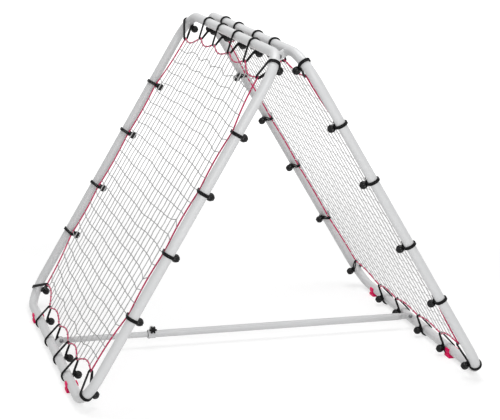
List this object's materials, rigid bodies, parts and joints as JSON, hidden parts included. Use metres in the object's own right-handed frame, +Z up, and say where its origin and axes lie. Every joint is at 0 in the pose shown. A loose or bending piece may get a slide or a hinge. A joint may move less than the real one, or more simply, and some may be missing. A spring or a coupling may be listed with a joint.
{
  "type": "rebounder net",
  "caption": "Free-standing two-sided ball rebounder: two tube-framed nets hinged at the ridge, held by ball bungees, with a telescopic stay bar.",
  "frame": {"origin": "centre of the footprint, on the floor under the ridge", "axes": "+X across the two feet rows, towards panel b; +Y along the ridge, away from the picture's camera; +Z up"},
  "size_m": [1.3464, 1.2918, 1.0952],
  "materials": {
    "powder_coat": "light grey powder coat, satin",
    "net_cord": "thin grey braided cord",
    "border_cord": "crimson braided cord",
    "bungee": "black sheathed elastic with moulded balls",
    "red_rubber": "matt red rubber",
    "black_plastic": "moulded black plastic",
    "zinc": "bright zinc plate"
  },
  "bodies": {
    "frame_a": {"frame_a": "powder_coat", "net_a": "net_cord", "border_cord_a": "border_cord", "ball_bungee_a_top_1": "bungee", "ball_bungee_a_top_2": "bungee", "ball_bungee_a_top_3": "bungee", "ball_bungee_a_top_4": "bungee", "ball_bungee_a_right_1": "bungee", "ball_bungee_a_right_2": "bungee", "ball_bungee_a_right_3": "bungee", "ball_bungee_a_right_4": "bungee", "ball_bungee_a_low_1": "bungee", "ball_bungee_a_low_2": "bungee", "ball_bungee_a_low_3": "bungee", "ball_bungee_a_low_4": "bungee", "ball_bungee_a_left_1": "bungee", "ball_bungee_a_left_2": "bungee", "ball_bungee_a_left_3": "bungee", "ball_bungee_a_left_4": "bungee", "ball_bungee_a_corner_top": "bungee", "ball_bungee_a_corner_right": "bungee", "ball_bungee_a_corner_low": "bungee", "ball_bungee_a_corner_left": "bungee", "foot_a_near": "red_rubber", "foot_a_far": "red_rubber", "hinge_bolt_near": "zinc", "hinge_bolt_far": "zinc", "bar_bolt_a": "zinc"},
    "frame_b": {"frame_b": "powder_coat", "net_b": "net_cord", "border_cord_b": "border_cord", "ball_bungee_b_top_1": "bungee", "ball_bungee_b_top_2": "bungee", "ball_bungee_b_top_3": "bungee", "ball_bungee_b_top_4": "bungee", "ball_bungee_b_right_1": "bungee", "ball_bungee_b_right_2": "bungee", "ball_bungee_b_right_3": "bungee", "ball_bungee_b_right_4": "bungee", "ball_bungee_b_low_1": "bungee", "ball_bungee_b_low_2": "bungee", "ball_bungee_b_low_3": "bungee", "ball_bungee_b_low_4": "bungee", "ball_bungee_b_left_1": "bungee", "ball_bungee_b_left_2": "bungee", "ball_bungee_b_left_3": "bungee", "ball_bungee_b_left_4": "bungee", "ball_bungee_b_corner_top": "bungee", "ball_bungee_b_corner_right": "bungee", "ball_bungee_b_corner_low": "bungee", "ball_bungee_b_corner_left": "bungee", "foot_b_near": "red_rubber", "foot_b_far": "red_rubber", "bar_bolt_b": "zinc"},
    "bar_inner": {"bar_inner_tube": "powder_coat"},
    "bar_outer": {"bar_outer_tube": "powder_coat", "clamp_collar": "powder_coat", "clamp_nut": "zinc"},
    "lock_knob": {"star_knob": "black_plastic"}
  },
  "joints": [
    {"name": "frame_hinge", "type": "hinge", "parent": "frame_a", "child": "frame_b", "pos_m": [0, 0, 1.05471], "axis": [0, -1, 0], "range_deg": [-14, 12]},
    {"name": "bar_pivot_a", "type": "hinge", "parent": "frame_a", "child": "bar_inner", "pos_m": [-0.6252, 0, 0.04652], "axis": [0, -1, 0], "range_deg": [-7, 6]},
    {"name": "bar_pivot_b", "type": "hinge", "parent": "frame_b", "child": "bar_outer", "pos_m": [0.6252, 0, 0.04652], "axis": [0, -1, 0], "range_deg": [-6, 7]},
    {"name": "knob_turn", "type": "hinge", "parent": "bar_outer", "child": "lock_knob", "pos_m": [-0.3128, 0, 0.06752], "axis": [0, -1, 0], "continuous": true}
  ],
  "couplings": [
    {"joint": "bar_pivot_a", "follows": "frame_hinge", "ratio": 0.5},
    {"joint": "bar_pivot_b", "follows": "frame_hinge", "ratio": -0.5}
  ]
}
